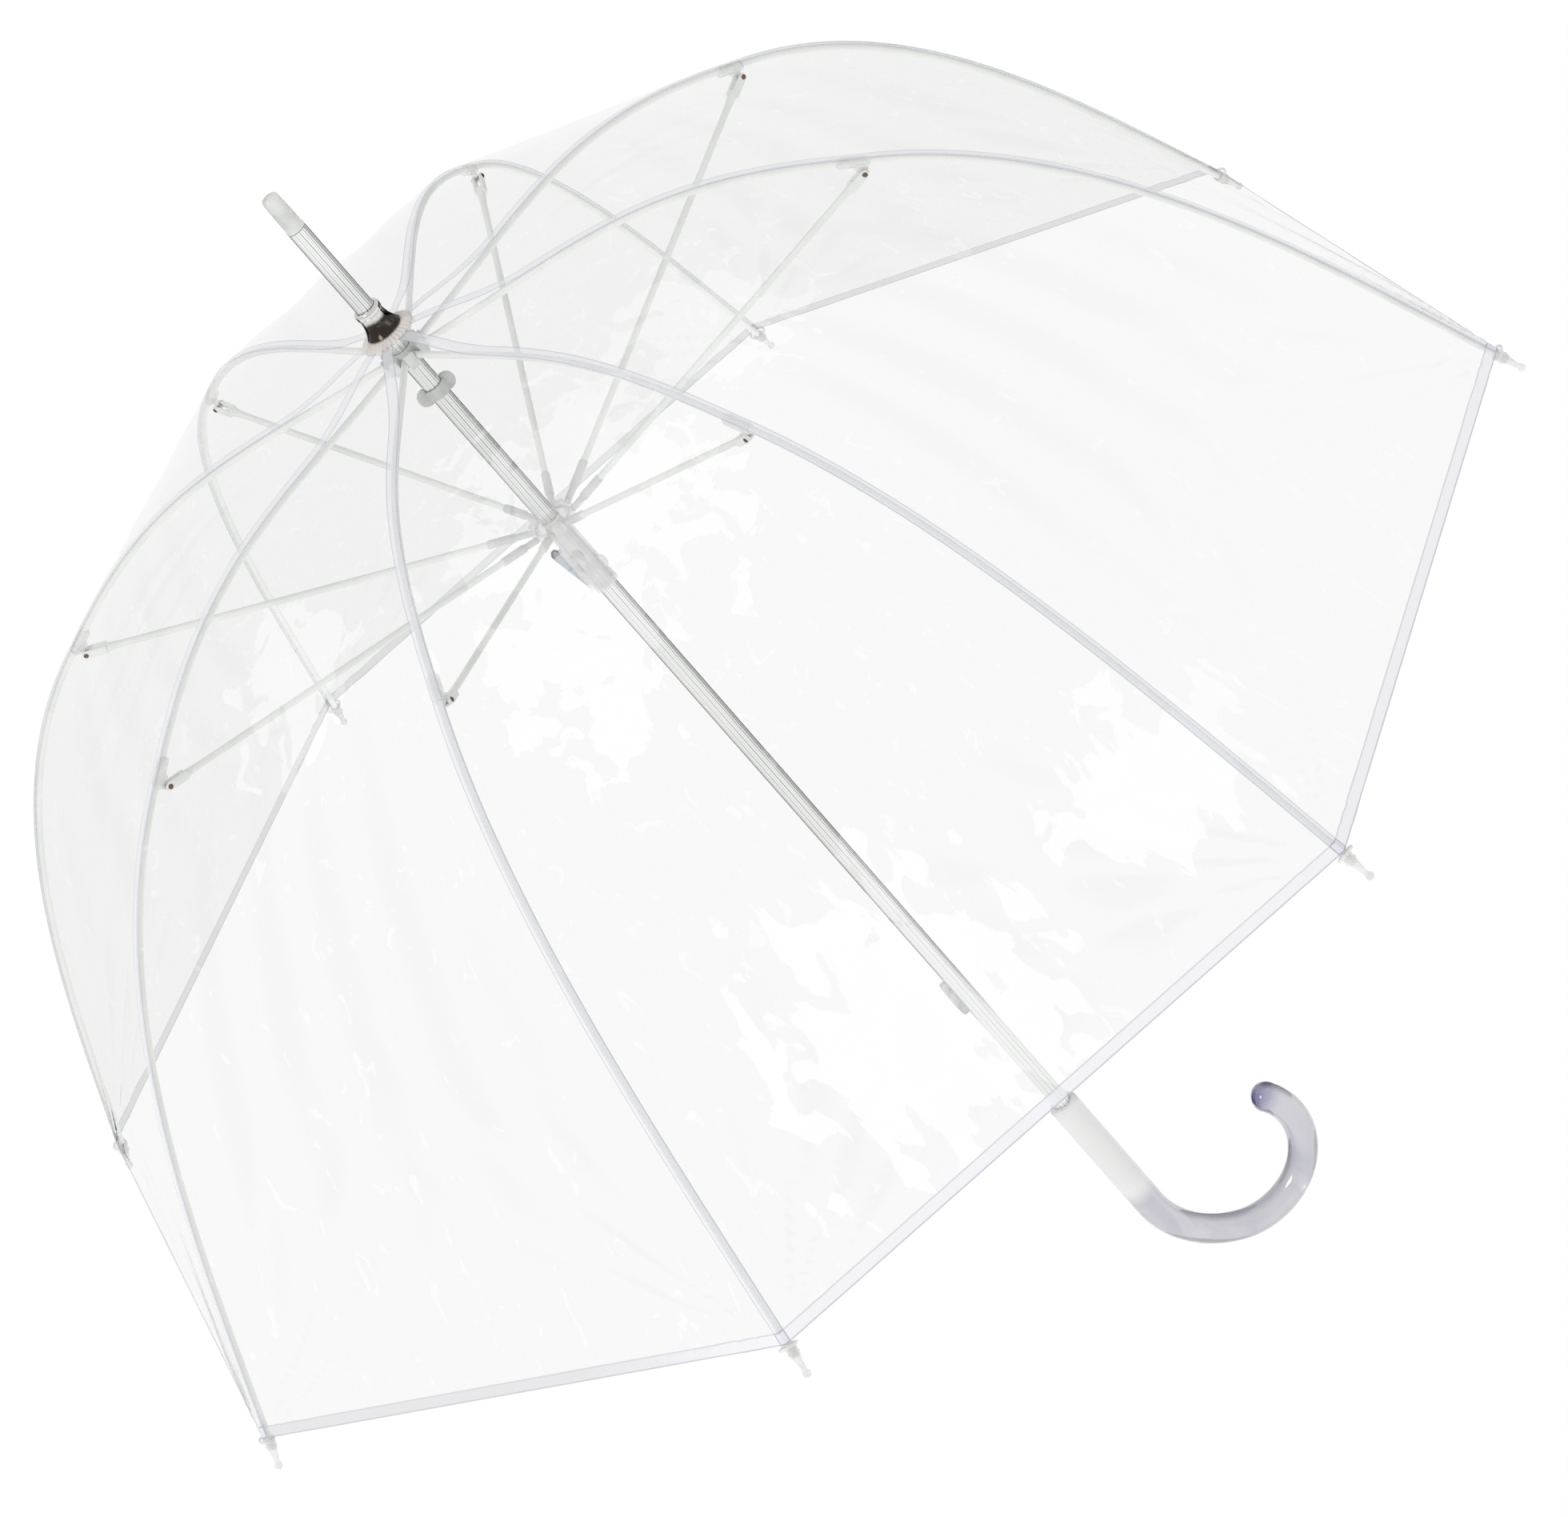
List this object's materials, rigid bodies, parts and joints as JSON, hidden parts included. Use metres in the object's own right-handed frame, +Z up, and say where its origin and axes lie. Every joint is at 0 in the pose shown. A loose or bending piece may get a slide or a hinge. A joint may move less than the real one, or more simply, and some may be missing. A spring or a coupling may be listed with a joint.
{
  "type": "stick umbrella",
  "caption": "Open clear dome umbrella with curved ribs and stretchers on a fluted shaft, an automatic runner, a release button and a crook handle.",
  "frame": {"origin": "on the shaft's axis, in the middle of the handle's straight grip", "axes": "+Z up along the shaft towards the ferrule, +X towards the side that the crook turns to, +Y by the right-hand rule"},
  "size_m": [0.7922, 0.7922, 0.8264],
  "materials": {
    "shaft": "fluted drawn aluminium tube, polished",
    "ferrule": "clear moulded plastic",
    "crown_cup": "dark polished chrome",
    "rosette": "clear pleated film, faintly pink",
    "notch": "white moulded plastic",
    "hinge_wire": "galvanised wire",
    "upper_rib": "pale glass-fibre rod",
    "lower_rib": "pale glass-fibre rod",
    "bracket": "milky translucent plastic",
    "stretcher": "pale glass-fibre rod with a moulded fork",
    "tip": "milky translucent plastic",
    "canopy_film": "clear soft film",
    "stop_collar": "milky translucent plastic",
    "runner": "milky translucent plastic",
    "spring": "spring steel wire",
    "button": "clear moulded plastic",
    "handle": "clear moulded acrylic, faintly lavender"
  },
  "bodies": {
    "shaft": {"shaft_tube": "shaft", "ferrule_cap": "ferrule", "crown_cup": "crown_cup", "crown_rosette": "rosette", "top_notch": "notch", "notch_wire": "hinge_wire", "stop_collar": "stop_collar", "drive_spring": "spring", "handle": "handle", "canopy_gore_1": "canopy_film", "canopy_gore_2": "canopy_film", "canopy_gore_3": "canopy_film", "canopy_gore_4": "canopy_film", "canopy_gore_5": "canopy_film", "canopy_gore_6": "canopy_film", "canopy_gore_7": "canopy_film", "canopy_gore_8": "canopy_film"},
    "runner": {"runner": "runner", "runner_wire": "hinge_wire"},
    "button": {"release_button": "button"},
    "rib_1": {"upper_rib_1": "upper_rib", "joint_bracket_1": "bracket"},
    "rib_end_1": {"lower_rib_1": "lower_rib", "tip_cap_1": "tip"},
    "strut_1": {"stretcher_1": "stretcher"},
    "rib_2": {"upper_rib_2": "upper_rib", "joint_bracket_2": "bracket"},
    "rib_end_2": {"lower_rib_2": "lower_rib", "tip_cap_2": "tip"},
    "strut_2": {"stretcher_2": "stretcher"},
    "rib_3": {"upper_rib_3": "upper_rib", "joint_bracket_3": "bracket"},
    "rib_end_3": {"lower_rib_3": "lower_rib", "tip_cap_3": "tip"},
    "strut_3": {"stretcher_3": "stretcher"},
    "rib_4": {"upper_rib_4": "upper_rib", "joint_bracket_4": "bracket"},
    "rib_end_4": {"lower_rib_4": "lower_rib", "tip_cap_4": "tip"},
    "strut_4": {"stretcher_4": "stretcher"},
    "rib_5": {"upper_rib_5": "upper_rib", "joint_bracket_5": "bracket"},
    "rib_end_5": {"lower_rib_5": "lower_rib", "tip_cap_5": "tip"},
    "strut_5": {"stretcher_5": "stretcher"},
    "rib_6": {"upper_rib_6": "upper_rib", "joint_bracket_6": "bracket"},
    "rib_end_6": {"lower_rib_6": "lower_rib", "tip_cap_6": "tip"},
    "strut_6": {"stretcher_6": "stretcher"},
    "rib_7": {"upper_rib_7": "upper_rib", "joint_bracket_7": "bracket"},
    "rib_end_7": {"lower_rib_7": "lower_rib", "tip_cap_7": "tip"},
    "strut_7": {"stretcher_7": "stretcher"},
    "rib_8": {"upper_rib_8": "upper_rib", "joint_bracket_8": "bracket"},
    "rib_end_8": {"lower_rib_8": "lower_rib", "tip_cap_8": "tip"},
    "strut_8": {"stretcher_8": "stretcher"}
  },
  "joints": [
    {"name": "runner_slide", "type": "slide", "parent": "shaft", "child": "runner", "axis": [0, 0, -1], "range_m": [0, 0.3409], "stiffness_N_per_m": 40, "springref_m": -0.35, "deforming": ["drive_spring", "canopy_gore_1", "canopy_gore_2", "canopy_gore_3", "canopy_gore_4", "canopy_gore_5", "canopy_gore_6", "canopy_gore_7", "canopy_gore_8"]},
    {"name": "button_press", "type": "slide", "parent": "shaft", "child": "button", "axis": [1, 0, 0], "range_m": [0, 0.0015], "stiffness_N_per_m": 800, "springref_m": -0.001},
    {"name": "rib_1_fold", "type": "hinge", "parent": "shaft", "child": "rib_1", "pos_m": [0.00924, 0.00383, 0.613], "axis": [-0.3827, 0.9239, 0], "range_deg": [0, 76.92]},
    {"name": "rib_1_flex", "type": "hinge", "parent": "rib_1", "child": "rib_end_1", "pos_m": [0.22075, 0.09144, 0.57082], "axis": [-0.3827, 0.9239, 0], "range_deg": [-41.8, 0]},
    {"name": "strut_1_swing", "type": "hinge", "parent": "rib_1", "child": "strut_1", "pos_m": [0.21442, 0.08882, 0.56775], "axis": [-0.3827, 0.9239, 0], "range_deg": [-148.03, 0]},
    {"name": "rib_2_fold", "type": "hinge", "parent": "shaft", "child": "rib_2", "pos_m": [0.00383, 0.00924, 0.613], "axis": [-0.9239, 0.3827, 0], "range_deg": [0, 76.92]},
    {"name": "rib_2_flex", "type": "hinge", "parent": "rib_2", "child": "rib_end_2", "pos_m": [0.09144, 0.22075, 0.57082], "axis": [-0.9239, 0.3827, 0], "range_deg": [-41.8, 0]},
    {"name": "strut_2_swing", "type": "hinge", "parent": "rib_2", "child": "strut_2", "pos_m": [0.08882, 0.21442, 0.56775], "axis": [-0.9239, 0.3827, 0], "range_deg": [-148.03, 0]},
    {"name": "rib_3_fold", "type": "hinge", "parent": "shaft", "child": "rib_3", "pos_m": [-0.00383, 0.00924, 0.613], "axis": [-0.9239, -0.3827, 0], "range_deg": [0, 76.92]},
    {"name": "rib_3_flex", "type": "hinge", "parent": "rib_3", "child": "rib_end_3", "pos_m": [-0.09144, 0.22075, 0.57082], "axis": [-0.9239, -0.3827, 0], "range_deg": [-41.8, 0]},
    {"name": "strut_3_swing", "type": "hinge", "parent": "rib_3", "child": "strut_3", "pos_m": [-0.08882, 0.21442, 0.56775], "axis": [-0.9239, -0.3827, 0], "range_deg": [-148.03, 0]},
    {"name": "rib_4_fold", "type": "hinge", "parent": "shaft", "child": "rib_4", "pos_m": [-0.00924, 0.00383, 0.613], "axis": [-0.3827, -0.9239, 0], "range_deg": [0, 76.92]},
    {"name": "rib_4_flex", "type": "hinge", "parent": "rib_4", "child": "rib_end_4", "pos_m": [-0.22075, 0.09144, 0.57082], "axis": [-0.3827, -0.9239, 0], "range_deg": [-41.8, 0]},
    {"name": "strut_4_swing", "type": "hinge", "parent": "rib_4", "child": "strut_4", "pos_m": [-0.21442, 0.08882, 0.56775], "axis": [-0.3827, -0.9239, 0], "range_deg": [-148.03, 0]},
    {"name": "rib_5_fold", "type": "hinge", "parent": "shaft", "child": "rib_5", "pos_m": [-0.00924, -0.00383, 0.613], "axis": [0.3827, -0.9239, 0], "range_deg": [0, 76.92]},
    {"name": "rib_5_flex", "type": "hinge", "parent": "rib_5", "child": "rib_end_5", "pos_m": [-0.22075, -0.09144, 0.57082], "axis": [0.3827, -0.9239, 0], "range_deg": [-41.8, 0]},
    {"name": "strut_5_swing", "type": "hinge", "parent": "rib_5", "child": "strut_5", "pos_m": [-0.21442, -0.08882, 0.56775], "axis": [0.3827, -0.9239, 0], "range_deg": [-148.03, 0]},
    {"name": "rib_6_fold", "type": "hinge", "parent": "shaft", "child": "rib_6", "pos_m": [-0.00383, -0.00924, 0.613], "axis": [0.9239, -0.3827, 0], "range_deg": [0, 76.92]},
    {"name": "rib_6_flex", "type": "hinge", "parent": "rib_6", "child": "rib_end_6", "pos_m": [-0.09144, -0.22075, 0.57082], "axis": [0.9239, -0.3827, 0], "range_deg": [-41.8, 0]},
    {"name": "strut_6_swing", "type": "hinge", "parent": "rib_6", "child": "strut_6", "pos_m": [-0.08882, -0.21442, 0.56775], "axis": [0.9239, -0.3827, 0], "range_deg": [-148.03, 0]},
    {"name": "rib_7_fold", "type": "hinge", "parent": "shaft", "child": "rib_7", "pos_m": [0.00383, -0.00924, 0.613], "axis": [0.9239, 0.3827, 0], "range_deg": [0, 76.92]},
    {"name": "rib_7_flex", "type": "hinge", "parent": "rib_7", "child": "rib_end_7", "pos_m": [0.09144, -0.22075, 0.57082], "axis": [0.9239, 0.3827, 0], "range_deg": [-41.8, 0]},
    {"name": "strut_7_swing", "type": "hinge", "parent": "rib_7", "child": "strut_7", "pos_m": [0.08882, -0.21442, 0.56775], "axis": [0.9239, 0.3827, 0], "range_deg": [-148.03, 0]},
    {"name": "rib_8_fold", "type": "hinge", "parent": "shaft", "child": "rib_8", "pos_m": [0.00924, -0.00383, 0.613], "axis": [0.3827, 0.9239, 0], "range_deg": [0, 76.92]},
    {"name": "rib_8_flex", "type": "hinge", "parent": "rib_8", "child": "rib_end_8", "pos_m": [0.22075, -0.09144, 0.57082], "axis": [0.3827, 0.9239, 0], "range_deg": [-41.8, 0]},
    {"name": "strut_8_swing", "type": "hinge", "parent": "rib_8", "child": "strut_8", "pos_m": [0.21442, -0.08882, 0.56775], "axis": [0.3827, 0.9239, 0], "range_deg": [-148.03, 0]}
  ],
  "couplings": [
    {"joint": "rib_1_fold", "follows": "runner_slide", "rad_per_m": 3.9383},
    {"joint": "rib_1_flex", "follows": "runner_slide", "rad_per_m": -2.1401},
    {"joint": "strut_1_swing", "follows": "runner_slide", "rad_per_m": -7.579},
    {"joint": "rib_2_fold", "follows": "runner_slide", "rad_per_m": 3.9383},
    {"joint": "rib_2_flex", "follows": "runner_slide", "rad_per_m": -2.1401},
    {"joint": "strut_2_swing", "follows": "runner_slide", "rad_per_m": -7.579},
    {"joint": "rib_3_fold", "follows": "runner_slide", "rad_per_m": 3.9383},
    {"joint": "rib_3_flex", "follows": "runner_slide", "rad_per_m": -2.1401},
    {"joint": "strut_3_swing", "follows": "runner_slide", "rad_per_m": -7.579},
    {"joint": "rib_4_fold", "follows": "runner_slide", "rad_per_m": 3.9383},
    {"joint": "rib_4_flex", "follows": "runner_slide", "rad_per_m": -2.1401},
    {"joint": "strut_4_swing", "follows": "runner_slide", "rad_per_m": -7.579},
    {"joint": "rib_5_fold", "follows": "runner_slide", "rad_per_m": 3.9383},
    {"joint": "rib_5_flex", "follows": "runner_slide", "rad_per_m": -2.1401},
    {"joint": "strut_5_swing", "follows": "runner_slide", "rad_per_m": -7.579},
    {"joint": "rib_6_fold", "follows": "runner_slide", "rad_per_m": 3.9383},
    {"joint": "rib_6_flex", "follows": "runner_slide", "rad_per_m": -2.1401},
    {"joint": "strut_6_swing", "follows": "runner_slide", "rad_per_m": -7.579},
    {"joint": "rib_7_fold", "follows": "runner_slide", "rad_per_m": 3.9383},
    {"joint": "rib_7_flex", "follows": "runner_slide", "rad_per_m": -2.1401},
    {"joint": "strut_7_swing", "follows": "runner_slide", "rad_per_m": -7.579},
    {"joint": "rib_8_fold", "follows": "runner_slide", "rad_per_m": 3.9383},
    {"joint": "rib_8_flex", "follows": "runner_slide", "rad_per_m": -2.1401},
    {"joint": "strut_8_swing", "follows": "runner_slide", "rad_per_m": -7.579}
  ]
}
